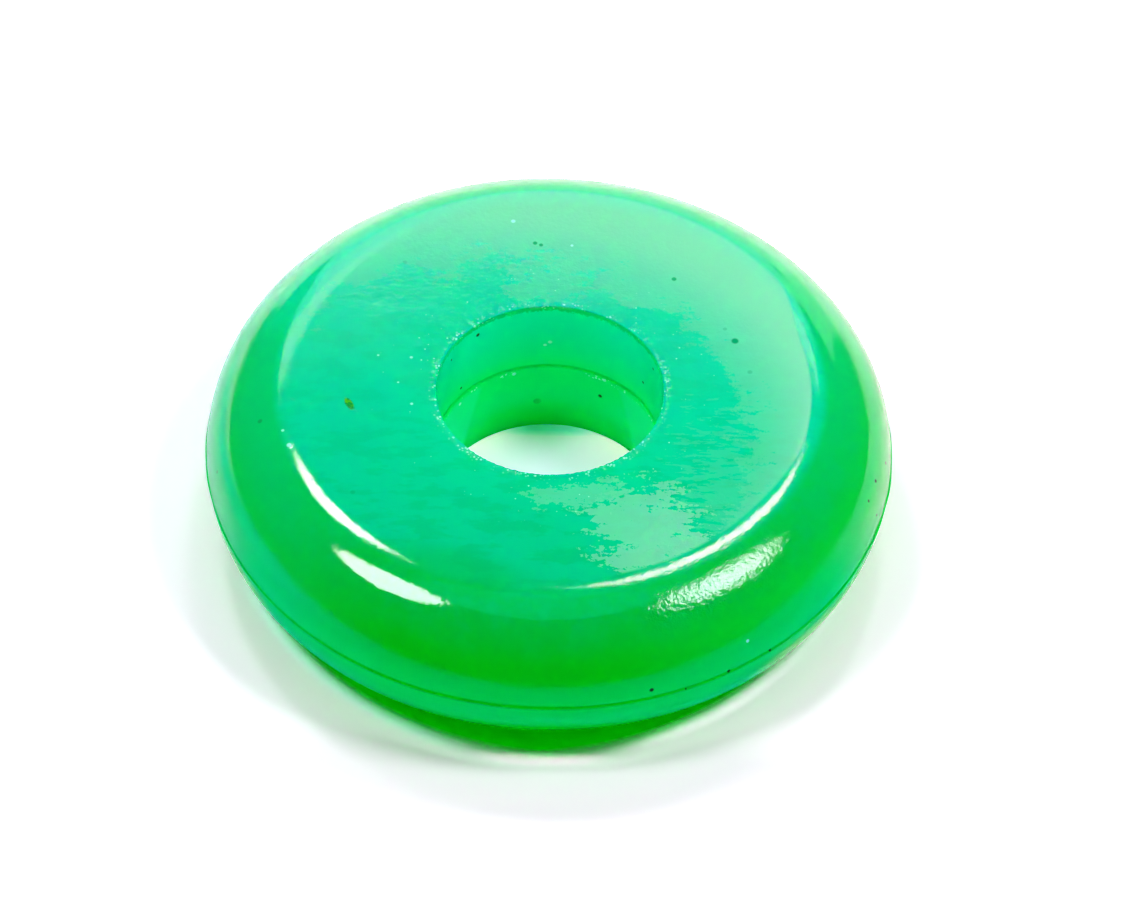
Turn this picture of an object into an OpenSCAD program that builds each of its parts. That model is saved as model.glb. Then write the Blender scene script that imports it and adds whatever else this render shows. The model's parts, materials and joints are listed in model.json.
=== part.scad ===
// Bump stop: a soft moulded puck that rides on a damper's rod and cushions the end of its stroke.
// It is one casting with a flat face above and below, an edge that is round all the way over, and a
// plain bore. The mould parts at mid height, and leaves a thin bead of flash round the edge and in the bore.
// It stands on its lower face, with the origin at that face's centre and the bore upright along Z.

/* [Body] */
// Outer diameter at mid height, without the flash
outer_d = 50.8; // [44:0.1:60]
// Distance between the two flat faces, which the round edge spans with one half circle
thickness = 13; // [8:0.1:16]

/* [Bore] */
// Diameter of the bore that the rod passes through
bore_d = 16.8; // [12:0.1:18]

/* [Parting line] */
// How far the bead of flash stands out from the round edge
edge_flash = 0.12; // [0.05:0.01:0.3]
// How far the bead of flash stands into the bore
bore_flash = 0.2; // [0.05:0.01:0.25]

/* [Hidden] */

// Radius of the half circle that rounds the edge, and the radius of the circle its centre runs on
edge_r = thickness / 2;
edge_centre_r = outer_d / 2 - edge_r;

// Height of the plane where the mould's two halves meet
parting_z = thickness / 2;

// Steps round a full circle
smooth = 180;

// The flat-faced middle, from the bore out to where the edge starts to fall away
module flat_section() {
    translate([bore_d / 2, 0])
        square([edge_centre_r - bore_d / 2, thickness]);
}

// The round edge, tangent to both faces
module edge_section() {
    translate([edge_centre_r, parting_z])
        circle(r = edge_r, $fn = smooth);
}

// A bead of flash on the parting plane, centred on a wall at the given radius
module flash_section(wall_r, proud) {
    translate([wall_r, parting_z])
        circle(r = proud, $fn = 32);
}

// The whole cross-section to one side of the axis
module puck_section() {
    flat_section();
    edge_section();
    flash_section(outer_d / 2, edge_flash);
    flash_section(bore_d / 2, bore_flash);
}

module bump_stop() {
    color("mediumseagreen")
        rotate_extrude($fn = smooth)
            puck_section();
}

bump_stop();
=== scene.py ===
# %% [markdown]
# # A moulded bump stop
#
# The object is one soft polyurethane puck that rides on a damper's rod. It was poured into a mould of two
# halves, so it is a surface of revolution with small faults: a bead of flash where the halves met, a ragged
# rim where the sprue was trimmed off the bore, and a skin that is glossy in some places and dull in others.
#
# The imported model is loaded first. Everything after it is measured from that frame.

# %% Load the frame
import json
import math

import bpy
import numpy as np
from mathutils import Matrix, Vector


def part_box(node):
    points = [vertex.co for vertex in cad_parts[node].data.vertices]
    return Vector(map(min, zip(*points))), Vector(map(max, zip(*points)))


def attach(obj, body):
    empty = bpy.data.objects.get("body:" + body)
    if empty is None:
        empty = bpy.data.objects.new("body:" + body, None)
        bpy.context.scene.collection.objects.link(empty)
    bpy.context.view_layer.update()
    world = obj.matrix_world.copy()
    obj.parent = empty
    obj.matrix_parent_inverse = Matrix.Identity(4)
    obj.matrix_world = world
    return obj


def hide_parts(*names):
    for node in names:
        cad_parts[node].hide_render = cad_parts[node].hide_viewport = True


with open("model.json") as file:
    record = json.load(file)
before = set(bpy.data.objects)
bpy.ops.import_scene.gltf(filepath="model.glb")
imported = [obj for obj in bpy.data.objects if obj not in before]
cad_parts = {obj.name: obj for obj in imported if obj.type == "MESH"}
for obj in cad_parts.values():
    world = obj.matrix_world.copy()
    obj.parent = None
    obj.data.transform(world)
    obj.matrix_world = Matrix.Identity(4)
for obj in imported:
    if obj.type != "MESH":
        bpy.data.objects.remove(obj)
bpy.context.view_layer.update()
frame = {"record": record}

MM = 0.001

# %% [markdown]
# ## Sizes
#
# The faces, the edge and the bore keep the CAD solid's sizes, read from the frame: the node's own box gives
# the thickness and the diameter over the flash, and the record's bore mount gives the bore. The height of the
# flash is the only size that has to be said again, because the box is measured over it.

# %% Read the sizes
low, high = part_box("bump_stop")
bore_mount = next(m for m in frame["record"]["mounts"] if m["kind"] == "bore")
thickness = (high.z - low.z) / MM
mid_z = thickness / 2
edge_flash = 0.12
bore_flash = 0.2
outer_r = high.x / MM - edge_flash
bore_r = bore_mount["dims"]["r_mm"]
edge_r = thickness / 2
edge_centre_r = outer_r - edge_r
print(f"outer radius {outer_r:.2f}, bore radius {bore_r:.2f}, thickness {thickness:.2f} mm")

# %% [markdown]
# ## The cross-section
#
# A turned part is a profile carried round an axis. The profile is a closed loop of straight stretches and
# arcs, walked anticlockwise with the radius to the right and the height upwards: out along the underside, up
# round the edge, back along the top and down the bore. Points crowd where a stretch ends, so that the shading
# turns sharply at the bore's rim and stays calm on the flats.

# %% Profile helpers
def arc(centre_r, centre_z, radius, start, stop, count, squash=1.0):
    """The centre plus radius times (cos a, squash sin a), with a from start to stop in degrees."""
    a = np.radians(np.linspace(start, stop, count))
    return np.stack([centre_r + radius * np.cos(a), centre_z + squash * radius * np.sin(a)], axis=1)


def straight(start, stop, count):
    """Points from start to stop, eased by (1 - cos(pi t)) / 2 so that they crowd at both ends."""
    t = (1 - np.cos(np.pi * np.linspace(0, 1, count))) / 2
    return np.outer(1 - t, start) + np.outer(t, stop)


def join(*stretches):
    """One closed loop from stretches that each begin where the last one ends."""
    return np.concatenate([s[1:] for s in stretches])


print("a quarter arc of radius 1 ends at", arc(0, 0, 1, 0, 90, 5)[-1].round(3))

# %% Lay out the profile
rim_r = 0.04
bead_squash = 0.55
bead_half = bore_flash * bead_squash
bead_angle = math.degrees(edge_flash * bead_squash / edge_r)
underside_points, top_points, wall_points = 34, 44, 12
edge_points, bead_points = 42, 9
top_rim_points, low_rim_points = 6, 5
profile = join(
    straight((bore_r + rim_r, 0), (edge_centre_r, 0), underside_points),
    arc(edge_centre_r, mid_z, edge_r, -90, -bead_angle, edge_points),
    arc(outer_r, mid_z, edge_flash, -90, 90, bead_points, bead_squash),
    arc(edge_centre_r, mid_z, edge_r, bead_angle, 90, edge_points),
    straight((edge_centre_r, thickness), (bore_r + rim_r, thickness), top_points),
    arc(bore_r + rim_r, thickness - rim_r, rim_r, 90, 180, top_rim_points),
    straight((bore_r, thickness - rim_r), (bore_r, mid_z + bead_half), wall_points),
    arc(bore_r, mid_z, bore_flash, 90, 270, bead_points, bead_squash),
    straight((bore_r, mid_z - bead_half), (bore_r, rim_r), wall_points),
    arc(bore_r + rim_r, rim_r, rim_r, 180, 270, low_rim_points),
)
turns = 460
print(len(profile), "points round the section and", turns, "steps round the axis")
print(2 * len(profile) * turns, "triangles")

# %% [markdown]
# ## The cast skin
#
# A perfect solid of revolution looks machined. The real skin is a little wavy, the flash is thicker in some
# places than in others, and the trimmed rim is nibbled. Each of these is a smooth field, worked out as a sum
# of cosine waves, and each moves the surface by a few hundredths of a millimetre along its normal. Moving the
# mesh, rather than faking it with bump, lets the highlights and the outline wander as they do on the casting.

# %% Fields of waves
def waves_in_space(points, length, count, seed):
    """The mean of count cosines of (k . point + phase), each k in a random direction, times root count.
    Their wavelengths lie near the given length."""
    rng = np.random.default_rng(seed)
    k = rng.normal(size=(count, 3))
    k *= (2 * np.pi / (length * rng.uniform(0.7, 1.4, (count, 1)))) / np.linalg.norm(k, axis=1, keepdims=True)
    phase = rng.uniform(0, 2 * np.pi, count)
    return np.cos(points @ k.T + phase).mean(axis=-1) * math.sqrt(count)


def waves_round(angle, lowest, highest, count, seed):
    """The mean of count cosines of (n angle + phase) times root count, each n whole and in the range."""
    rng = np.random.default_rng(seed)
    n = rng.integers(lowest, highest + 1, count)
    phase = rng.uniform(0, 2 * np.pi, count)
    return np.cos(np.outer(angle, n) + phase).mean(axis=-1) * math.sqrt(count)


def hump(x, centre, width):
    """A bump of height 1 at centre, exp(-((x - centre) / width) squared)."""
    return np.exp(-((x - centre) / width) ** 2)


print("one width from its centre a hump is", round(float(hump(1, 0, 1)), 2), "high")

# %% Turn the profile
def turned(section, steps):
    """The section carried round Z: (r cos a, r sin a, z), and each point's outward normal the same way."""
    angle = np.linspace(0, 2 * np.pi, steps, endpoint=False)
    along = np.roll(section, -1, axis=0) - np.roll(section, 1, axis=0)
    normal = np.stack([along[:, 1], -along[:, 0]], axis=1)
    normal /= np.linalg.norm(normal, axis=1, keepdims=True)
    c, s = np.cos(angle)[:, None], np.sin(angle)[:, None]
    place = np.stack([section[:, 0] * c, section[:, 0] * s, section[:, 1] + 0 * c], axis=-1)
    out = np.stack([normal[:, 0] * c, normal[:, 0] * s, normal[:, 1] + 0 * c], axis=-1)
    return angle, place, out


angle, place, out = turned(profile, turns)
radius = np.hypot(place[..., 0], place[..., 1])
height = place[..., 2]
print("grid", place.shape[:2], "at radius", radius.min().round(2), "to", radius.max().round(2))

# %% Give the skin its waves
long_wave, short_wave = 0.005, 0.0012
waviness = long_wave * waves_in_space(place, length=9, count=24, seed=3)
waviness += short_wave * waves_in_space(place, length=2.6, count=30, seed=4)
first_free_height = 0.6
off_the_table = np.clip(height / first_free_height, 0, 1)
lift = waviness * off_the_table
print(f"the waves move the skin by {lift.min():.3f} to {lift.max():.3f} mm")

# %% Wear the flash and nibble the rim
edge_flash_loss, bore_flash_loss, nibble = 0.03, 0.06, 0.02
on_edge_bead = hump(height, mid_z, edge_flash * bead_squash) * (radius > edge_centre_r)
lift -= on_edge_bead * edge_flash_loss * (1 + waves_round(angle, 3, 40, 16, seed=5))[:, None]
on_bore_bead = hump(height, mid_z, bead_half) * (radius < bore_r + bore_flash)
lift -= on_bore_bead * bore_flash_loss * (1 + waves_round(angle, 4, 90, 20, seed=6))[:, None]

nibbles = np.clip(waves_round(angle, 30, 150, 40, seed=7), -1.2, 1.6)[:, None]
rim_width = 0.35
on_top_rim = hump(radius, bore_r, rim_width) * hump(height, thickness, rim_width)
lift += on_top_rim * nibble * nibbles
print(f"with the flash and the rim it moves by {lift.min():.3f} to {lift.max():.3f} mm")

# %% Let the top face fall a little towards the edge
dome = 0.06
outwards = (radius - bore_r) / (outer_r - bore_r)
upwards = np.clip((height - mid_z) / mid_z, 0, 1)
skin = place + out * lift[..., None]
skin[..., 2] -= dome * outwards ** 2 * upwards
skin[..., 2] = np.maximum(skin[..., 2], 0)
print(f"top of the skin {skin[..., 2].max():.3f} mm")

# %% Cut the nick
nick_place = (-14.73, -1.8)
nick_half = (0.32, 0.78)
nick_turn = 27
nick_depth = 0.015
lean = math.radians(nick_turn)
off_x, off_y = skin[..., 0] - nick_place[0], skin[..., 1] - nick_place[1]
over = (off_x * math.cos(lean) + off_y * math.sin(lean)) / nick_half[0]
along = (off_y * math.cos(lean) - off_x * math.sin(lean)) / nick_half[1]
skin[..., 2] -= nick_depth * np.exp(-(over ** 2 + along ** 2)) * (height > mid_z)
print("nick cut at", nick_place)

# %% Make the mesh
def closed_grid(name, points):
    """A mesh of quads over a grid that closes on itself both ways, with its faces turned outwards."""
    rows, columns = points.shape[:2]
    index = np.arange(rows * columns).reshape(rows, columns)
    right = np.roll(index, -1, axis=0)
    quads = np.stack([index, right, np.roll(right, -1, axis=1), np.roll(index, -1, axis=1)], axis=-1)
    mesh = bpy.data.meshes.new(name)
    mesh.from_pydata((points.reshape(-1, 3) * MM).tolist(), [], quads.reshape(-1, 4).tolist())
    mesh.polygons.foreach_set("use_smooth", np.ones(rows * columns, bool))
    mesh.validate()
    piece = bpy.data.objects.new(name, mesh)
    bpy.context.scene.collection.objects.link(piece)
    return piece


def volume(points):
    """The volume inside a closed grid of quads: the sum of (a . (b x c)) / 6 over its triangles."""
    a = points
    b = np.roll(points, -1, axis=0)
    c = np.roll(b, -1, axis=1)
    d = np.roll(points, -1, axis=1)
    return float((np.einsum("ijk,ijk", a, np.cross(b, c)) + np.einsum("ijk,ijk", a, np.cross(c, d))) / 6)


puck = closed_grid("puck", skin)
print(f"volume {volume(skin):.0f} cubic mm, positive where the faces point outwards")

# %% [markdown]
# ## Finish
#
# The polyurethane is clear green all through, with a little milk in it. Light goes in at the top and comes
# out deep green at the edge. Subsurface scattering carries green a long way and blue only a little, so much
# of that glow comes by itself. The rest is painted light in the base colour: teal where light comes in at
# the top, deep green where it has come a long way, and bluer where the skin mirrors the bright room behind
# and to the left. On top of that lies a glossy skin with dull, scuffed patches.
#
# Small node helpers come first.

# %% Node helpers
class Tree:
    """A short way to write a node tree: each method adds a node, wires it up and returns an output."""

    def __init__(self, tree):
        self.tree = tree
        self.nodes = tree.nodes
        self.links = tree.links

    def put(self, socket, value):
        """Wires an output to the socket or sets its value. A colour is given without its alpha."""
        if isinstance(value, bpy.types.NodeSocket):
            self.links.new(value, socket)
        elif socket.type == "RGBA":
            socket.default_value = (*value, 1)
        else:
            socket.default_value = value

    def math(self, operation, a, b=0.0, c=0.0, clamp=False):
        """The operation on a, b and c, cut to 0..1 by clamp."""
        node = self.nodes.new("ShaderNodeMath")
        node.operation = operation
        node.use_clamp = clamp
        for socket, value in zip(node.inputs, (a, b, c)):
            self.put(socket, value)
        return node.outputs[0]

    def vector(self, operation, a, b=(0, 0, 0)):
        """The operation on the vectors a and b; for SCALE, b is a number."""
        node = self.nodes.new("ShaderNodeVectorMath")
        node.operation = operation
        self.put(node.inputs[0], a)
        self.put(node.inputs["Scale" if operation == "SCALE" else 1], b)
        gives_value = operation in ("LENGTH", "DISTANCE", "DOT_PRODUCT")
        return node.outputs["Value" if gives_value else "Vector"]

    def mapping(self, place, location=(0, 0, 0), turn=0.0, scale=(1, 1, 1)):
        """The place as seen from a frame that lies at location, turned about Z and stretched by scale."""
        node = self.nodes.new("ShaderNodeMapping")
        node.vector_type = "TEXTURE"
        self.put(node.inputs["Vector"], place)
        node.inputs["Location"].default_value = location
        node.inputs["Rotation"].default_value = (0, 0, turn)
        node.inputs["Scale"].default_value = scale
        return node.outputs[0]

    def noise(self, place, scale, detail=4.0, roughness=0.55):
        """Noise round 0.5, scale humps to a unit, with detail finer layers, each roughness times as high."""
        node = self.nodes.new("ShaderNodeTexNoise")
        self.put(node.inputs["Vector"], place)
        node.inputs["Scale"].default_value = scale
        node.inputs["Detail"].default_value = detail
        node.inputs["Roughness"].default_value = roughness
        return node.outputs["Fac"]

    def mix(self, share, a, b):
        """The colour a where share is 0 and b where it is 1."""
        node = self.nodes.new("ShaderNodeMix")
        node.data_type = "RGBA"
        self.put(node.inputs[0], share)
        self.put(node.inputs[6], a)
        self.put(node.inputs[7], b)
        return node.outputs[2]

    def use(self, group, given):
        """Places a node group, with a value or an output for each named input."""
        node = self.nodes.new("ShaderNodeGroup")
        node.node_tree = group
        for label, value in given.items():
            self.put(node.inputs[label], value)
        return node.outputs[0]

    def end(self, shader, kind="Material"):
        """Makes the shader the surface of a Material or a World."""
        self.put(self.nodes.new("ShaderNodeOutput" + kind).inputs["Surface"], shader)


print("node helpers ready")

# %% [markdown]
# Most of a finish is masks: numbers from 0 to 1 that say how much of something a point has. The next class
# adds the few ways in which masks are made and put together here.

# %% Mask helpers
class Masks(Tree):
    """A node tree with short ways to write masks."""

    def ramp(self, value, start, stop):
        """0 at start, 1 at stop, t t (3 - 2 t) a share t of the way between; stop may be the smaller."""
        node = self.nodes.new("ShaderNodeMapRange")
        node.interpolation_type = "SMOOTHSTEP"
        flip = stop < start
        self.put(node.inputs["Value"], value)
        node.inputs["From Min"].default_value = min(start, stop)
        node.inputs["From Max"].default_value = max(start, stop)
        node.inputs["To Min"].default_value = 1.0 if flip else 0.0
        node.inputs["To Max"].default_value = 0.0 if flip else 1.0
        return node.outputs[0]

    def slope(self, value, start, stop):
        """(value - start) / (stop - start), cut to 0..1."""
        return self.math("DIVIDE", self.math("SUBTRACT", value, start), stop - start, clamp=True)

    def scaled(self, value, by, plus=0.0):
        """value times by, plus plus."""
        return self.math("MULTIPLY_ADD", value, by, plus)

    def away_from(self, value, centre):
        """The distance |value - centre|."""
        return self.math("ABSOLUTE", self.math("SUBTRACT", value, centre))

    def all_of(self, first, *others):
        """The product of the masks, which is 1 only where each of them is."""
        for other in others:
            first = self.math("MULTIPLY", first, other)
        return first

    def any_of(self, first, *others):
        """The largest of the masks."""
        for other in others:
            first = self.math("MAXIMUM", first, other)
        return first


def new_group(name, inputs, outputs):
    """An empty node group with the named sockets, each given as a name and a socket type."""
    group = bpy.data.node_groups.new(name, "ShaderNodeTree")
    for label, kind in inputs:
        group.interface.new_socket(label, in_out="INPUT", socket_type=kind)
    for label, kind in outputs:
        group.interface.new_socket(label, in_out="OUTPUT", socket_type=kind)
    given = group.nodes.new("NodeGroupInput").outputs
    result = group.nodes.new("NodeGroupOutput").inputs
    return Masks(group), given, result


def new_material(name):
    """A material with an empty node tree, and the tree."""
    material = bpy.data.materials.new(name)
    material.use_nodes = True
    material.node_tree.nodes.clear()
    return material, Masks(material.node_tree)


FLOAT = "NodeSocketFloat"
VECTOR = "NodeSocketVector"
print("mask helpers ready")

# %% [markdown]
# ### Where a point lies
#
# A shader is worked out for one point at a time. The marks and colours below are measured on the part in
# millimetres, so a point's Object coordinates are turned into millimetres once, and its distances from the
# bore's axis and from the table are taken from them.

# %% Where a point lies
class Spot:
    """The point that is being shaded, in millimetres: across to the right, depth to the back, and up."""

    def __init__(self, tree):
        metres = tree.nodes.new("ShaderNodeTexCoord").outputs["Object"]
        self.place = tree.vector("SCALE", metres, 1 / MM)
        split = tree.nodes.new("ShaderNodeSeparateXYZ")
        tree.put(split.inputs[0], self.place)
        self.across, self.depth, self.up = split.outputs
        self.flat = tree.vector("MULTIPLY", self.place, (1, 1, 0))
        self.from_axis = tree.vector("LENGTH", self.flat)
        self.sideways = tree.math("ABSOLUTE", self.across)


def on_oval(tree, spot, centre, half_size, turn=0):
    """The flat place measured from an ellipse, turned in degrees: its length is 1 on the border."""
    return tree.mapping(spot.flat, (*centre, 0), math.radians(turn), (*half_size, 1))


print("one unit of a place is", MM, "m")

# %% [markdown]
# ### Torn patches
#
# The top face is not one finish. The back and the right of it are dull where the mould was rough, and a patch
# in front on the right is scuffed. A mask could be painted, but a formula stays sharp at any size: each patch
# is an ellipse with its border pushed about by noise. One group draws them all.

# %% The patch group
def build_patch_group():
    """Inside an ellipse the value is 1 minus the distance in radii; noise shifts it before it is cut at 0."""
    tree, given, result = new_group(
        "Torn patch",
        [("Local place", VECTOR), ("Noise", FLOAT), ("Tear", FLOAT)],
        [("Mask", FLOAT)],
    )
    inside = tree.math("SUBTRACT", 1.0, tree.vector("LENGTH", given["Local place"]))
    torn = tree.scaled(tree.math("SUBTRACT", given["Noise"], 0.5), given["Tear"], inside)
    tree.put(result["Mask"], tree.ramp(torn, -0.02, 0.05))
    return tree.tree


torn_patch = build_patch_group()


def patch(tree, spot, centre, half_size, turn, noise, tear):
    """Puts the patch group on an ellipse on the top face."""
    local = on_oval(tree, spot, centre, half_size, turn)
    return tree.use(torn_patch, {"Local place": local, "Noise": noise, "Tear": tear})


print("patch group has", len(torn_patch.nodes), "nodes")

# %% [markdown]
# ### Hairs
#
# A hair or a scratch is a line on the surface. A group gives the distance to one straight piece of it, and
# the nearest piece of a bent line wins.

# %% The stroke group
def build_stroke_group():
    """The distance to the line from A to B: |p - t d| with p = Place - A, d = B - A and t = p . d / d . d,
    cut to 0..1."""
    tree, given, result = new_group(
        "Stroke",
        [("Place", VECTOR), ("A", VECTOR), ("B", VECTOR)],
        [("Distance", FLOAT)],
    )
    p = tree.vector("SUBTRACT", given["Place"], given["A"])
    d = tree.vector("SUBTRACT", given["B"], given["A"])
    p_along_d = tree.vector("DOT_PRODUCT", p, d)
    t = tree.math("DIVIDE", p_along_d, tree.vector("DOT_PRODUCT", d, d), clamp=True)
    tree.put(result["Distance"], tree.vector("DISTANCE", p, tree.vector("SCALE", d, t)))
    return tree.tree


stroke = build_stroke_group()


def strokes(tree, spot, lines, half_width):
    """1 on any of the lines, each given as its two ends, and 0 from half_width away."""
    nearest = None
    for start, stop in lines:
        away = tree.use(stroke, {"Place": spot.place, "A": start, "B": stop})
        nearest = away if nearest is None else tree.math("MINIMUM", nearest, away)
    return tree.ramp(nearest, half_width, 0.35 * half_width)


print("stroke group has", len(stroke.nodes), "nodes")

# %% [markdown]
# ### Grit and crumbs
#
# The casting has trapped grit: single dark specks, each at its own place. A speck is a small ball in space,
# dark where the surface cuts it, so it needs no mapping. Smudges are the same, only fainter. Pale flecks sit
# on the skin and round the trimmed rim of the bore, where the cut left crumbs; two of them on the left
# shoulder are painted glints at the end of a highlight.

# %% The places of the marks
# Each row is the speck's centre and its radius, in millimetres
grit = [
    (-5.44, 6.40, 11.87, 0.21), (3.75, 7.52, 4.25, 0.20), (-6.64, 5.14, 7.39, 0.14),
    (7.83, -24.11, 7.34, 0.21), (13.41, -21.57, 6.68, 0.17), (10.30, -23.22, 6.49, 0.11),
    (16.4, -19.4, 6.6, 0.14), (9.06, 11.47, 13.0, 0.24), (13.62, 5.29, 13.0, 0.35),
    (24.12, -5.21, 9.48, 0.17), (24.92, -2.60, 8.59, 0.17), (23.59, -7.22, 9.50, 0.15),
    (24.24, -7.10, 7.84, 0.14), (-1.36, 14.87, 13.0, 0.22), (-0.91, 14.69, 13.0, 0.20),
    (7.60, 3.60, 11.6, 0.14), (-7.40, 4.10, 11.6, 0.14), (6.90, 4.80, 8.8, 0.14),
]
smudges = [
    (-0.97, 8.34, 2.64, 0.36), (12.88, 6.48, 13.0, 0.2), (14.73, 2.19, 13.0, 0.24),
    (-21.27, -3.23, 12.45, 0.24), (-24.39, -5.17, 8.91, 0.16), (-14.21, -10.55, 13.0, 0.24),
    (-11.03, 12.64, 13.0, 0.22),
]
# Pale specks; the two on the left shoulder, at about (-19, -5), are painted glints at the end of a highlight.
pale_specks_and_glints = [
    (14.74, -20.28, 8.56, 0.17), (-3.04, 17.10, 13.0, 0.21), (-0.08, 8.40, 9.12, 0.20),
    (-0.45, 8.39, 8.80, 0.17), (-2.73, 7.95, 6.01, 0.20), (4.02, 7.38, 6.18, 0.22),
    (-6.70, 5.06, 5.71, 0.17), (1.4, 14.7, 13.0, 0.14), (-19.54, -4.50, 12.90, 0.15),
    (-19.02, -5.95, 12.92, 0.24), (-12.75, 3.10, 13.0, 0.11), (-10.30, 2.95, 13.0, 0.14),
    (-11.20, 0.42, 13.0, 0.10), (-10.15, -1.70, 13.0, 0.14),
]
# The hair is a bent line, given piece by piece as two ends
hair = [
    ((12.55, -19.6, 10.9), (12.85, -19.75, 10.6)),
    ((12.85, -19.75, 10.6), (13.2, -19.55, 10.7)),
]
hair_half_width = 0.09
print(len(grit), "dark specks,", len(smudges), "smudges and", len(pale_specks_and_glints), "pale specks")

# %% Draw the marks
def marks(tree, spot, places):
    """1 inside any of the balls: the largest of (1 - distance / radius), cut at 0 with a soft border."""
    nearness = []
    for x, y, z, size in places:
        away = tree.vector("DISTANCE", spot.place, (x, y, z))
        nearness.append(tree.math("SUBTRACT", 1.0, tree.math("DIVIDE", away, size)))
    return tree.ramp(tree.any_of(*nearness), 0.0, 0.45)


def grains(tree, spot, scale):
    """One grain to a Voronoi cell: a point's distance from the cell's middle, and the cell's own number."""
    cells = tree.nodes.new("ShaderNodeTexVoronoi")
    tree.put(cells.inputs["Scale"], scale)
    tree.put(cells.inputs["Vector"], spot.place)
    split = tree.nodes.new("ShaderNodeSeparateColor")
    tree.put(split.inputs[0], cells.outputs["Color"])
    return cells.outputs["Distance"], split.outputs[0]


print("the largest speck has a radius of", max(row[3] for row in grit), "mm")

# %% [markdown]
# ### The parts of the puck
#
# The colour and the gloss change from part to part: the flat face, its shoulder, the round edge, the bore and
# the parting line. Each part is a mask, made from heights and radii. The dull skin runs past the flat face at
# the back and stops short of its rim in front, so the top face's mask is pushed out and in by depth.

# %% The parts of the puck
class Parts:
    """Masks of the puck's parts, and three slopes: to the back, to the back round the edge, to the left."""

    def __init__(self, tree, spot):
        reach = tree.scaled(tree.ramp(spot.depth, 5, 14), -1.6, spot.from_axis)
        reach = tree.scaled(tree.ramp(spot.depth, -4, -12), 0.55, reach)
        self.top_face = tree.all_of(
            tree.ramp(spot.up, thickness - 0.3, thickness - 0.15),
            tree.ramp(reach, edge_centre_r + 0.5, edge_centre_r + 0.2),
        )
        self.top_half = tree.ramp(spot.up, thickness - 2.6, thickness - 1.8)

        to_right = tree.scaled(tree.math("MAXIMUM", spot.across, 0), 0.3)
        self.back = tree.slope(tree.math("ADD", spot.depth, to_right), -20, 16)
        self.edge_back = tree.slope(spot.depth, -20, 16)
        self.to_left = tree.ramp(spot.across, -10, -24)

        self.flat = tree.ramp(tree.scaled(self.back, 0.1, spot.up), thickness - 0.22, thickness + 0.02)
        self.shoulder = tree.ramp(spot.up, thickness - 3.5, thickness - 0.4)
        self.bore = tree.ramp(spot.from_axis, bore_r + 0.12, bore_r + 0.03)
        self.bore_rim = tree.all_of(
            tree.ramp(spot.from_axis, bore_r + 0.3, bore_r + 0.15),
            tree.ramp(spot.up, thickness - 0.5, thickness - 0.3),
        )
        self.parting = tree.ramp(tree.away_from(spot.up, mid_z), 0.28, 0.13)


class Noises:
    """The noises that several finishes share. Flakes and blotches are drawn out from left to right."""

    def __init__(self, tree, spot):
        self.grainy = tree.noise(spot.place, 3.2, 3, 0.65)
        self.brushed = tree.noise(spot.place, 3.0, 2, 0.6)
        self.flakes = tree.noise(tree.mapping(spot.place, scale=(3.5, 1, 1)), 2.3, 4, 0.65)
        self.blotches = tree.noise(tree.mapping(spot.place, scale=(2.4, 1, 1)), 0.7, 3, 0.6)
        fine = tree.scaled(self.grainy, 0.3, tree.scaled(self.flakes, 0.3))
        self.mixed = tree.scaled(self.blotches, 0.4, fine)


print(f"flat to radius {edge_centre_r:.2f} mm, parting line at height {mid_z:.2f} mm")

# %% [markdown]
# ### Dull and glossy
#
# Seen against the light, the skin is a mirror in the middle of the top face and in front, and dull round
# that. So the main mask is a glossy lake with a torn shore. The skin grows duller away from the shore, and
# less so on the left. Four small dull patches lie in the lake and beside it.

# %% The dull skin
lake_centre, lake_half, lake_tear = (-4.0, -4.8), (19.6, 17.8), -1.2


def dull_skin(tree, spot, parts, noises):
    """Outside the lake (0.35 + 0.65 farther) (1 - 0.35 left); in a small patch at least its own share."""
    broad = tree.noise(spot.place, 0.26, 2)
    shore = tree.scaled(broad, 0.35, tree.scaled(noises.mixed, 0.65))
    lake = patch(tree, spot, lake_centre, lake_half, 0, shore, lake_tear)
    outward = tree.vector("LENGTH", on_oval(tree, spot, lake_centre, lake_half))
    farther = tree.scaled(tree.ramp(outward, 0.95, 1.35), 0.65, 0.35)
    weaker = tree.scaled(tree.ramp(spot.across, -2, -15), -0.35, 1.0)
    dull = tree.all_of(tree.math("SUBTRACT", 1.0, lake), farther, weaker)

    # Each row gives centre, half size, turn, noise, tear and share
    small_patches = [
        ((7.5, -14.0), (3.8, 4.3), 30, noises.mixed, 6.0, 0.56),
        ((2.4, -10.2), (3.7, 1.2), 10, noises.mixed, 7.0, 0.40),
        ((-0.4, 10.6), (3.0, 2.4), 0, noises.mixed, 6.0, 0.25),
        ((13.9, -9.6), (3.6, 5.6), 0, noises.flakes, 7.0, 0.16),
    ]
    for *oval, share in small_patches:
        dull = tree.any_of(dull, tree.scaled(patch(tree, spot, *oval), share))
    return tree.all_of(dull, parts.top_face)


def rubbed_skin(tree, spot, parts, noises):
    """A long scuff on the shoulder, in front on the right."""
    scuff = patch(tree, spot, (12.6, -18.6), (6.5, 2.6), 36, noises.flakes, 1.2)
    return tree.all_of(scuff, parts.top_half)


print("the glossy lake is about", 2 * lake_half[0], "by", 2 * lake_half[1], "mm")

# %% [markdown]
# The roughness follows the dull mask. The lower part of the round edge is a little rougher than its shoulder,
# which keeps the floor that it mirrors soft, and the scuff on the shoulder has fine scratches.

# %% Roughness
glossy, dull_adds, low_edge_rough, scratch_rough = 0.035, 0.23, 0.2, 0.09


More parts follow.
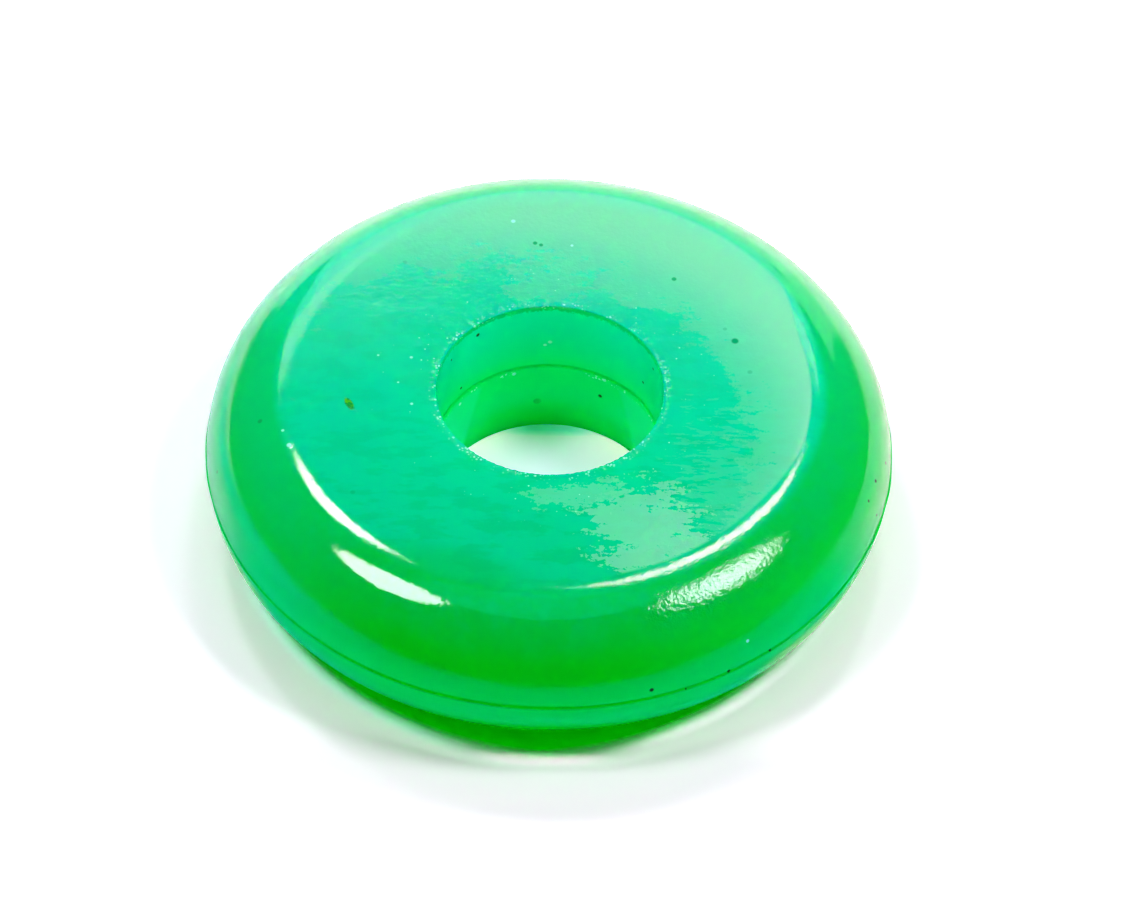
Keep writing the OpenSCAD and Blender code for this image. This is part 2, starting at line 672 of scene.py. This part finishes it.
def skin_roughness(tree, spot, noises, dull, rubbed):
    """The largest of glossy + dull_adds dull, the low edge's roughness and the scratches'."""
    lowered = tree.scaled(tree.ramp(spot.depth, 6, -6), 1.5, spot.up)
    low_edge = tree.all_of(
        tree.ramp(lowered, thickness - 0.5, thickness - 1.5),
        tree.ramp(spot.from_axis, edge_centre_r, edge_centre_r + 1),
    )
    scratched = tree.all_of(rubbed, tree.ramp(noises.brushed, 0.4, 0.62))
    return tree.any_of(
        tree.scaled(dull, dull_adds, glossy),
        tree.scaled(low_edge, low_edge_rough),
        tree.scaled(scratched, scratch_rough),
    )


print("roughness from", glossy, "up to", glossy + dull_adds)

# %% [markdown]
# Close up, the skin has a grain that is too fine for the mesh, so this one is bump. It is coarser in front on
# the right, where a highlight shows it. The height is sampled three times for each ray, so the costly dull
# mask goes to the strength, which is read once.

# %% Grain
calm, uneven_adds, grain_height = 0.12, 0.18, 0.05
worn_centre = (13.0, -17.4, 0)


def skin_grain(tree, spot, parts, noises, dull, rubbed):
    """Bump whose height is brushed noise times (1.1 + 0.9 worn) plus a slower noise."""
    near_worn = tree.ramp(tree.vector("DISTANCE", spot.flat, worn_centre), 9.5, 7)
    past_face = tree.ramp(spot.from_axis, edge_centre_r + 0.1, edge_centre_r + 0.5)
    worn = tree.all_of(near_worn, past_face, parts.top_half)
    slower = tree.noise(spot.place, 1.6, 3, 0.6)
    height = tree.scaled(noises.brushed, tree.scaled(near_worn, 0.9, 1.1), slower)
    uneven = tree.any_of(dull, rubbed, tree.scaled(worn, 0.25))
    bump = tree.nodes.new("ShaderNodeBump")
    tree.put(bump.inputs["Strength"], tree.scaled(uneven, uneven_adds, calm))
    tree.put(bump.inputs["Distance"], grain_height * MM)
    tree.put(bump.inputs["Height"], height)
    return bump.outputs[0]


print("grain up to", grain_height, "mm high")

# %% [markdown]
# ### The greens
#
# The base colour turns from teal on the flat face to deep green on the round edge and in the bore. Most of
# this is painted light: the teal stands for the light that comes in at the top and for the bright room that
# the skin mirrors behind, and the deep green for light that has come a long way through the body. Each part
# has a few named greens and a slope or a mask between each two of them.

# %% The round edge
# These greens are painted light and painted reflection on the round edge, set by height and side.
deep_green, parting_green = (0.0, 0.72, 0.004), (0.0, 0.93, 0.012)
right_green, left_green = (0.0, 0.78, 0.055), (0.0, 0.78, 0.11)
front_shoulder, back_shoulder = (0.0, 0.57, 0.062), (0.0, 0.70, 0.26)
back_left_shoulder, left_shoulder = (0.0, 0.76, 0.40), (0.0, 0.72, 0.30)
cloud = (0.0, 0.60, 0.17)


def edge_colour(tree, spot, parts):
    """Deep green round the edge, brighter below the middle and to the right, and tealer towards the shoulder,
    the back and the left: painted light for how far light has come through the body, and painted reflection
    of the bright room behind and to the left.
    """
    deep = tree.mix(tree.ramp(spot.up, 10, 6.5), deep_green, parting_green)
    deep = tree.mix(tree.ramp(spot.across, 3, 20), deep, right_green)
    deep = tree.mix(parts.to_left, deep, left_green)
    shoulder = tree.mix(tree.math("POWER", parts.edge_back, 1.5), front_shoulder, back_shoulder)
    back_left = tree.all_of(tree.ramp(spot.across, -7, -17), tree.ramp(spot.depth, 3, 11))
    shoulder = tree.mix(back_left, shoulder, back_left_shoulder)
    cloudy = tree.ramp(tree.noise(spot.place, 0.33, 3, 0.6), 0.42, 0.62)
    shoulder = tree.mix(tree.scaled(cloudy, 0.3), shoulder, cloud)
    shoulder = tree.mix(tree.scaled(parts.to_left, 0.25), shoulder, left_shoulder)
    return tree.mix(parts.shoulder, deep, shoulder)


print("the edge turns from", deep_green, "to", back_shoulder)

# %% The bore
# Painted light: the wall is brighter green at its foot and teal at its top, the pale sheen low at the sides
# is a painted reflection, and the dark rim green is a painted shadow.
bore_foot, bore_low, bore_high = (0.0, 0.88, 0.01), (0.0, 0.85, 0.16), (0.0, 0.82, 0.71)
painted_bore_reflection, painted_rim_shade = (0.02, 0.95, 0.6), (0.0, 0.45, 0.06)


def bore_colour(tree, spot, noises):
    """Deep green at the foot and teal at the top, painted light for the light that reaches the wall, with
    painted reflections low at both sides and a painted shadow along the torn rim.
    """
    low = tree.mix(tree.ramp(spot.up, 0.3, 4), bore_foot, bore_low)
    leaning = tree.scaled(spot.up, 0.25, spot.sideways)
    reflection_patch = tree.all_of(tree.ramp(leaning, 6.4, 6.9), tree.ramp(spot.up, 6.2, 5.7))
    low = tree.mix(tree.scaled(reflection_patch, 0.3), low, painted_bore_reflection)
    colour = tree.mix(tree.ramp(spot.up, 5.5, 12.5), low, bore_high)
    # The dark torn rim is a painted shadow along the bore's top edge.
    nibbled = tree.scaled(noises.grainy, 0.9, spot.up)
    rim = tree.scaled(tree.ramp(nibbled, thickness - 0.12, thickness + 0.14), 0.65)
    return tree.mix(rim, colour, painted_rim_shade)


print("the bore turns from", bore_foot, "to", bore_high)

# %% The flat face
# The flat face is bluer to the back as painted reflection of the bright room behind, and darker in an oval in
# front.
front_flat, back_flat = (0.0, 0.64, 0.26), (0.0, 0.75, 0.45)
darker_front_oval, mottle = (0.0, 0.57, 0.12), (0.0, 0.52, 0.12)
# The dull skin's bloom is partly its real pale film and partly painted reflection of the bright room.
front_bloom_and_reflection, back_bloom_and_reflection = (0.14, 0.76, 0.48), (0.15, 0.73, 0.41)
line_green = (0.0, 0.4, 0.0)


def flat_colour(tree, spot, parts, noises):
    """Bluer to the back, as painted reflection of the bright room behind, darker in an oval in front, and
    mottled all over.
    """
    colour = tree.mix(tree.math("POWER", parts.back, 0.75), front_flat, back_flat)
    oval = tree.vector("LENGTH", on_oval(tree, spot, (-6.4, -18.2), (6.4, 2.2), -20))
    colour = tree.mix(tree.scaled(tree.ramp(oval, 1.5, 0.3), 0.75), colour, darker_front_oval)
    fewer_behind = tree.scaled(parts.back, -0.3, 0.36)
    return tree.mix(tree.all_of(tree.ramp(noises.blotches, 0.46, 0.6), fewer_behind), colour, mottle)


def body_colour(tree, spot, parts, noises, dull):
    """The parts' greens laid over each other, then the dull skin's bloom, which is partly painted reflection,
    and the parting line.
    """
    colour = tree.mix(parts.flat, edge_colour(tree, spot, parts), flat_colour(tree, spot, parts, noises))
    colour = tree.mix(parts.bore, colour, bore_colour(tree, spot, noises))
    colour = tree.mix(dull, colour, tree.mix(parts.back, front_bloom_and_reflection, back_bloom_and_reflection))
    return tree.mix(tree.scaled(parts.parting, 0.35), colour, line_green)


print("the flat face runs from", front_flat, "in front to", back_flat, "at the back")

# %% [markdown]
# ### Marks on the skin
#
# The grit is brown on the edge and in the bore and only a darker green on the top face, where it lies under
# the skin. The nick's floor is rough and speckled. The crumbs are pale Voronoi grains, partly real crumbs of
# the cut and partly painted glints: many close to the bore's rim and on its bead, few farther out, and none
# between the clumps of a slow noise.

# %% Dark marks
grit_brown, sunk_green, hair_green = (0.01, 0.06, 0.004), (0.0, 0.38, 0.13), (0.0, 0.2, 0.02)
nick_dark, nick_yellow = (0.0, 0.34, 0.03), (0.10, 0.58, 0.0)


def dark_marks(tree, spot, parts, noises, colour):
    """Puts the grit, the hair and the nick on the colour; gives it back with the grit's mask."""
    spots = tree.any_of(marks(tree, spot, grit), tree.scaled(marks(tree, spot, smudges), 0.4))
    colour = tree.mix(spots, colour, tree.mix(parts.top_face, grit_brown, sunk_green))
    colour = tree.mix(strokes(tree, spot, hair, hair_half_width), colour, hair_green)
    ragged = tree.vector("LENGTH", on_oval(tree, spot, nick_place, nick_half, nick_turn))
    ragged = tree.scaled(noises.grainy, 0.9, ragged)
    nick = tree.all_of(tree.ramp(ragged, 1.5, 1.1), parts.top_face)
    speckle = tree.mix(tree.ramp(tree.noise(spot.place, 5.2, 1), 0.45, 0.6), nick_dark, nick_yellow)
    return tree.mix(nick, colour, speckle), spots


print("grit is", grit_brown, "and", sunk_green, "under the skin of the top face")

# %% Crumbs
crumb_scale, crumb_and_glint_pale = 4.3, (0.3, 1.0, 0.85)
close_share, loose_share = 0.4, 0.9


def crumbs(tree, spot, parts):
    """Pale grains, partly real crumbs of the cut and partly painted glints, whose number is over close_share
    near the rim and on the bead, over loose_share around them.
    """
    clumps = tree.noise(spot.place, 0.7, 1, 0.5)
    away, number = grains(tree, spot, crumb_scale)
    bead = tree.all_of(
        tree.ramp(tree.away_from(spot.up, mid_z - 0.35), 0.3, 0.15),
        parts.bore,
        tree.ramp(spot.sideways, 2.2, 3.5),
    )
    rim = tree.all_of(tree.ramp(spot.from_axis, bore_r + 0.8, bore_r + 0.1), parts.top_face)
    around = tree.all_of(tree.ramp(spot.from_axis, bore_r + 6, bore_r + 1), parts.top_face)
    close = tree.all_of(
        tree.ramp(away, 0.45, 0.25),
        tree.math("GREATER_THAN", number, close_share),
        tree.any_of(rim, bead),
        tree.ramp(clumps, 0.45, 0.55),
    )
    loose = tree.all_of(
        tree.ramp(away, 0.3, 0.18),
        tree.math("GREATER_THAN", number, loose_share),
        around,
        tree.ramp(clumps, 0.52, 0.6),
    )
    return tree.any_of(close, loose)


print(f"crumb cells are {1 / crumb_scale:.2f} mm wide")

# %% [markdown]
# ### The polyurethane itself
#
# All of it comes together in one Principled shader. Subsurface scattering does the glow: green light travels
# 11 mm, about the thickness of the part, and the other colours less than 1 mm. Light that has gone round the
# bore's foot is too faint to render well, so a little green emission stands for it. Grit, the parting line
# and the torn rim have no shine.

# %% The polyurethane
scatter_mm = (0.3, 11.0, 0.6)
shine_tint = (0.14, 1.0, 1.0)
foot_glow, foot_glow_green = 0.12, (0.0, 1.0, 0.03)


def polyurethane():
    """Green, cloudy and glossy, with dull patches, grit and crumbs."""
    material, tree = new_material("cast_polyurethane")
    material.cycles.emission_sampling = "NONE"
    spot = Spot(tree)
    parts = Parts(tree, spot)
    noises = Noises(tree, spot)
    dull = dull_skin(tree, spot, parts, noises)
    rubbed = rubbed_skin(tree, spot, parts, noises)
    colour = body_colour(tree, spot, parts, noises, dull)
    colour, dark = dark_marks(tree, spot, parts, noises, colour)
    pale = tree.any_of(crumbs(tree, spot, parts), marks(tree, spot, pale_specks_and_glints))
    solid = tree.any_of(pale, tree.scaled(dark, 0.8))
    matt = tree.any_of(parts.parting, dark, parts.bore_rim)

    shader = tree.nodes.new("ShaderNodeBsdfPrincipled")
    tree.put(shader.inputs["Base Color"], tree.mix(pale, colour, crumb_and_glint_pale))
    tree.put(shader.inputs["Roughness"], skin_roughness(tree, spot, noises, dull, rubbed))
    tree.put(shader.inputs["Normal"], skin_grain(tree, spot, parts, noises, dull, rubbed))
    tree.put(shader.inputs["IOR"], 1.5)
    tree.put(shader.inputs["Specular IOR Level"], tree.scaled(matt, -0.5, 0.5))
    tree.put(shader.inputs["Specular Tint"], shine_tint)
    tree.put(shader.inputs["Subsurface Weight"], tree.math("SUBTRACT", 1.0, solid))
    tree.put(shader.inputs["Subsurface Radius"], scatter_mm)
    tree.put(shader.inputs["Subsurface Scale"], MM)
    tree.put(shader.inputs["Emission Color"], foot_glow_green)
    glow = tree.all_of(tree.ramp(spot.up, 2.0, 0), parts.bore, foot_glow)
    tree.put(shader.inputs["Emission Strength"], glow)
    tree.end(shader.outputs[0])
    return material


puck.data.materials.append(polyurethane())
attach(puck, "root")
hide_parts("bump_stop")
print("puck wears", puck.data.materials[0].name)

# %% [markdown]
# ## The studio
#
# The puck lies on a white sheet in a dim room. Two round softboxes stand high at its sides, two smaller lamps
# high behind it, four cards at the back, and a faint lamp hangs overhead. The glossy skin mirrors all of
# them, so their places come from where the highlights lie.
#
# The floor answers each kind of ray in its own way. The camera sees it white, with the puck's shadow. The
# skin mirrors it in tints that give each part of the round edge its own shade. Every other ray sees a plain
# white sheet, which throws light up into the puck, except in the bore, where the floor is painted brighter
# and greener to light the bore's walls. Past the sheet's borders, which the camera doesn't see, the floor is
# dark.

# %% What the skin mirrors
close_right, close_left = (2.0, 1.35, 1.75), (1.35, 1.35, 1.8)
farther_tint, far_back_tint = (1.2, 1.6, 1.9), (3.3, 2.4, 2.5)
front_teal, far_left_blue, side_pale = (0.02, 1.2, 1.3), (0.1, 1.4, 2.4), (1.6, 1.6, 1.5)


def mirrored_floor(tree, spot, outside):
    """Teal in front of the puck and in the bore, paler at the sides and behind, and white far behind."""
    close = tree.mix(tree.ramp(spot.across, -10, -30), close_right, close_left)
    beyond = tree.mix(tree.ramp(spot.from_axis, 70, 33), farther_tint, close)
    beyond = tree.mix(tree.slope(spot.depth, 32, 77), beyond, far_back_tint)
    behind = tree.all_of(tree.ramp(spot.depth, -12, 3), outside)
    mirrored = tree.mix(behind, front_teal, beyond)
    far_left = tree.all_of(tree.ramp(spot.across, -41, -56), tree.ramp(spot.depth, 70, 20))
    mirrored = tree.mix(far_left, mirrored, far_left_blue)
    slanted = tree.scaled(spot.across, 0.15, spot.depth)
    beside = tree.all_of(
        tree.ramp(spot.from_axis, 27.2, 25.8),
        tree.ramp(spot.sideways, 13, 19),
        tree.ramp(slanted, -16.5, -13),
    )
    return tree.mix(beside, mirrored, side_pale)


print("close in front the skin mirrors", front_teal)

# %% [markdown]
# The shadow of a see-through puck is pale and soft, and close to the contact it stays greenish white. The
# render's shadow is darker there, so the floor's colour goes above 1 in the narrow gaps in front of the
# contact and along both sides of it. A strip farther out in front gets less, which paints a faint shadow
# there, and in the bore the floor under the back wall is painted dark green as its shade.

# %% What the camera sees
# The strip's white is lower, a painted faint shadow in front; the green under the bore's back wall is painted
# shade.
white_left, white_right, shaded_front_white = (1.44, 1.34, 1.53), (1.42, 1.27, 1.46), (1.1, 1.02, 1.15)
contact_white, gap_white = (3.4, 1.95, 3.15), (6.9, 2.8, 5.9)
left_skirt, left_skirt_front = (1.3, 1.7, 1.9), (1.35, 1.8, 2.05)
right_skirt, right_skirt_front = (1.85, 1.55, 1.9), (4.0, 2.4, 3.9)
bore_floor, painted_wall_shade = (1.24, 1.05, 1.52), (0.25, 0.95, 1.2)


def seen_floor(tree, spot, outside, from_overhang):
    """White with the shadow lifted in front of the contact, in the skirt beside it and in the bore, with a
    painted faint shadow in a strip farther out in front and painted shade under the bore's back wall.
    """
    white = tree.mix(tree.ramp(spot.across, -5, 10), white_left, white_right)
    strip = tree.all_of(
        tree.ramp(spot.from_axis, 25.2, 25.8),
        tree.ramp(spot.from_axis, 33, 29.5),
        tree.ramp(spot.depth, -21, -25),
    )
    white = tree.mix(strip, white, shaded_front_white)
    past_contact = tree.ramp(spot.depth, -23.9, -24.3)
    front = tree.all_of(tree.ramp(spot.sideways, 6, 2), tree.ramp(spot.from_axis, 25.4, 24.75))
    white = tree.mix(tree.all_of(past_contact, front), white, contact_white)
    gap = tree.all_of(tree.ramp(spot.sideways, 3.5, 0.3), tree.ramp(spot.from_axis, 24.75, 24.45))
    white = tree.mix(tree.all_of(past_contact, gap), white, gap_white)

    nearer = tree.ramp(spot.depth, -13, -21.5)
    left_colour = tree.mix(nearer, left_skirt, left_skirt_front)
    right_colour = tree.mix(nearer, right_skirt, right_skirt_front)
    skirt_colour = tree.mix(tree.ramp(spot.across, -5, 5), left_colour, right_colour)
    skirt = tree.all_of(
        tree.ramp(tree.any_of(*from_overhang), outer_r + 1.3, outer_r + 0.1),
        tree.ramp(spot.sideways, 4, 10),
        tree.ramp(spot.depth, -5, -10),
    )
    white = tree.mix(skirt, white, skirt_colour)

    under_wall = tree.all_of(tree.ramp(spot.depth, 6.9, 7.9), tree.ramp(spot.sideways, 5, 1.5))
    in_bore = tree.mix(under_wall, bore_floor, painted_wall_shade)
    return tree.mix(outside, in_bore, white)


print("the white reaches", max(gap_white), "in the gap in front of the contact")

# %% The floor's material
sheet_left, sheet_right, sheet_front, sheet_soft = -300, 260, -62, 4
overhang_centres = [(-2.6, 1.0, 0), (2.1, 1.0, 0)]
# Inside the bore the floor is painted light: brighter and greener than white, to light the bore's walls.
dark_floor, painted_bore_light, plain_white = (0.03, 0.03, 0.03), (1.2, 1.5, 1.2), (0.93, 0.93, 0.93)
green_strip = (0.02, 1.6, 0.01)


def floor_material():
    """White to the camera, tinted where it is mirrored, plain white to other rays but painted brighter and
    greener in the bore, and clear from below.
    """
    material, tree = new_material("white_sheet")
    spot = Spot(tree)
    light_path = tree.nodes.new("ShaderNodeLightPath")
    to_camera = light_path.outputs["Is Camera Ray"]
    to_gloss = light_path.outputs["Is Glossy Ray"]
    outside = tree.ramp(spot.from_axis, bore_r, bore_r + 2)
    from_overhang = [tree.vector("DISTANCE", spot.flat, centre) for centre in overhang_centres]
    plain = tree.mix(outside, painted_bore_light, plain_white)
    seen = tree.mix(to_gloss, plain, mirrored_floor(tree, spot, outside))
    seen = tree.mix(to_camera, seen, seen_floor(tree, spot, outside, from_overhang))

    # Under the overhang only green light that came through the puck reaches the floor
    green_light = tree.all_of(tree.ramp(spot.from_axis, 9, 15), tree.ramp(spot.depth, -4, -12))
    for away in from_overhang:
        green_light = tree.all_of(green_light, tree.ramp(away, outer_r + 0.1, outer_r - 0.65))
    seen = tree.mix(green_light, seen, green_strip)

    on_sheet = tree.all_of(
        tree.ramp(spot.across, sheet_left - sheet_soft, sheet_left + sheet_soft),
        tree.ramp(spot.across, sheet_right + sheet_soft, sheet_right - sheet_soft),
        tree.ramp(spot.depth, sheet_front - sheet_soft, sheet_front + sheet_soft),
    )
    shader = tree.nodes.new("ShaderNodeBsdfDiffuse")
    tree.put(shader.inputs["Color"], tree.mix(tree.any_of(on_sheet, to_camera), dark_floor, seen))

    # From below the floor is clear, so that the puck's underside can be looked at
    clear = tree.nodes.new("ShaderNodeBsdfTransparent")
    either = tree.nodes.new("ShaderNodeMixShader")
    tree.put(either.inputs[0], tree.nodes.new("ShaderNodeNewGeometry").outputs["Backfacing"])
    tree.put(either.inputs[1], shader.outputs[0])
    tree.put(either.inputs[2], clear.outputs[0])
    tree.end(either.outputs[0])
    return material


print("the sheet is", sheet_right - sheet_left, "mm wide and starts at", sheet_front, "mm")

# %% Lay the floor
def floor_sheet(half, z):
    """A square floor of the given half width, as one face at height z."""
    corners = np.array([(-half, -half, z), (half, -half, z), (half, half, z), (-half, half, z)])
    mesh = bpy.data.meshes.new("floor")
    mesh.from_pydata(corners.tolist(), [], [(0, 1, 2, 3)])
    floor = bpy.data.objects.new("floor", mesh)
    bpy.context.scene.collection.objects.link(floor)
    return floor


floor_half = 3.0
floor_gap = 0.02 * MM
floor = floor_sheet(floor_half, -floor_gap)
floor.data.materials.append(floor_material())
print("floor laid", floor_gap / MM, "mm below the puck")

# %% [markdown]
# ### The lamps
#
# The highlights on the skin are burnt out, which takes a far brighter lamp than the part needs for light. So
# each lamp is two in one place: one only lights, and the other is only mirrored. A strong lamp's light comes
# from its core, which keeps the shadow's border as it should be.

# %% Lamp helpers
def stand(thing, right, up, back, where):
    """Puts a lamp or a camera at where, with its X, Y and Z axes along right, up and back."""
    rows = np.eye(4)
    rows[:3] = np.stack([right, up, back, where], axis=1)
    thing.matrix_world = Matrix(rows.tolist())


def aim(thing, direction, distance, roll=0.0):
    """Places a lamp out along direction from the puck's middle, facing back to it."""
    toward = np.array(direction, float)
    toward /= np.linalg.norm(toward)
    side = np.cross((0, 0, 1), toward)
    side /= np.linalg.norm(side)
    up = np.cross(toward, side)
    turned_side = math.cos(roll) * side + math.sin(roll) * up
    turned_up = -math.sin(roll) * side + math.cos(roll) * up
    stand(thing, turned_side, turned_up, toward, toward * distance + (0, 0, mid_z * MM))


def lamp(name, direction, half_angles, light, shine, roll=0.0, shape="ELLIPSE"):
    """Two flat lamps in one place, which fill the given half angles, in radians, as seen from the puck.
    The first only lights, with radiance light; the second is only mirrored, with the colour shine.
    A lamp of radiance L and area A gives off pi times L times A watts."""
    distance, strong, core = 0.6, 2, 0.7
    width = 2 * distance * math.tan(half_angles[0])
    depth = 2 * distance * math.tan(half_angles[1])
    area = width * depth * (math.pi / 4 if shape == "ELLIPSE" else 1)
    # Each row gives the part's name, radiance, colour, share of the width and share of the distance
    parts = (
        ("light", light, (1, 1, 1), core if light > strong else 1.0, 1.0),
        ("shine", 1.0, shine, 1.0, 0.98),
    )
    for part, radiance, colour, shrink, nearer in parts:
        data = bpy.data.lights.new(f"{name}_{part}", "AREA")
        data.shape = shape
        data.size, data.size_y = width * shrink, depth * shrink
        data.energy = math.pi * radiance * area * max(colour)
        data.color = [channel / max(colour) for channel in colour]
        thing = bpy.data.objects.new(data.name, data)
        thing.visible_camera = False
        thing.visible_diffuse = part == "light"
        thing.visible_glossy = part == "shine"
        bpy.context.scene.collection.objects.link(thing)
        aim(thing, direction, distance * nearer, math.radians(roll))


print("lamp helpers ready")

# %% Hang the lamps
lamp("left_softbox", (-0.464, -0.069, 0.882), (0.168, 0.194), 10.2, (122, 21, 20), roll=-42)
lamp("right_softbox", (0.53, -0.03, 0.85), (0.19, 0.19), 12.4, (112, 19, 20))
lamp("back_left_lamp", (-0.235, 0.503, 0.833), (0.095, 0.091), 14, (115, 24, 24), roll=9)
lamp("back_right_lamp", (0.132, 0.529, 0.839), (0.078, 0.112), 11, (90, 14, 17), roll=-36)
# Each row gives a card's edges in degrees, right, left, low and top, and the colour that is mirrored
back_cards = [
    (69.5, 114, 38, 45.6, (8.0, 2.6, 2.8)),
    (69, 111, 12, 38, (1.7, 2.2, 2.6)),
    (69, 119, -2, 12, (2.0, 1.9, 1.7)),
    (57, 69, -2, 26, (1.6, 1.9, 1.4)),
]
card_light = 0.5
for right_edge, left_edge, low_edge, top_edge, shine in back_cards:
    turn = math.radians((right_edge + left_edge) / 2)
    middle = math.radians((low_edge + top_edge) / 2)
    toward = (math.cos(turn) * math.cos(middle), math.sin(turn) * math.cos(middle), math.sin(middle))
    half_wide = math.radians(left_edge - right_edge) / 2 * math.cos(middle)
    half_high = math.radians(top_edge - low_edge) / 2
    lamp("back_card", toward, (half_wide, half_high), card_light, shine, shape="RECTANGLE")
lamp("ceiling", (0.0, 0.02, 1.0), (0.3, 0.3), 0.8, (0.1, 1.2, 1.2))
print(len(bpy.data.lights), "lamps")

# %% The room
def room(dim):
    """A dim room for light and reflections, white to the camera."""
    world = bpy.data.worlds.new("room")
    world.use_nodes = True
    world.node_tree.nodes.clear()
    tree = Tree(world.node_tree)
    light_path = tree.nodes.new("ShaderNodeLightPath")
    shader = tree.nodes.new("ShaderNodeBackground")
    tree.put(shader.inputs["Color"], tree.mix(light_path.outputs["Is Camera Ray"], dim, (1, 1, 1)))
    tree.end(shader.outputs[0], "World")
    bpy.context.scene.world = world


room((0.06, 0.07, 0.07))
bpy.context.scene.view_settings.view_transform = "Standard"
print("world", bpy.context.scene.world.name)

# %% [markdown]
# ## The camera
#
# The photograph was taken through a long lens from far away: the near and far rims of the bore are almost the
# same shape. The elevation, the small roll and the distance were fitted to the rims, the parting line and the
# outline.

# %% Place the camera
elevation = math.radians(47.75)
camera_roll = math.radians(1.2)
camera_distance = 668 * MM
focal_pixels = 9000
image_width, image_height = 1125, 900
puck_pixel = (548.85, 448.95)


def place_camera():
    """A camera that looks at the puck's middle from the front, moved sideways until it falls on its pixel."""
    back = np.array((0, -math.cos(elevation), math.sin(elevation)))
    level = np.array((1.0, 0, 0))
    rise = np.cross(back, level)
    right = math.cos(camera_roll) * level + math.sin(camera_roll) * rise
    up = -math.sin(camera_roll) * level + math.cos(camera_roll) * rise
    per_pixel = camera_distance / focal_pixels
    shift_right = (image_width / 2 - puck_pixel[0]) * per_pixel
    shift_up = (puck_pixel[1] - image_height / 2) * per_pixel
    where = back * camera_distance + right * shift_right + up * shift_up + (0, 0, mid_z * MM)
    data = bpy.data.cameras.new("camera")
    data.sensor_width = 36
    data.lens = data.sensor_width * focal_pixels / image_width
    data.clip_start = 0.01
    camera = bpy.data.objects.new("camera", data)
    bpy.context.scene.collection.objects.link(camera)
    stand(camera, right, up, back, where)
    bpy.context.scene.camera = camera
    return camera


camera = place_camera()
print(f"lens {camera.data.lens:.0f} mm at {camera_distance / MM:.0f} mm")
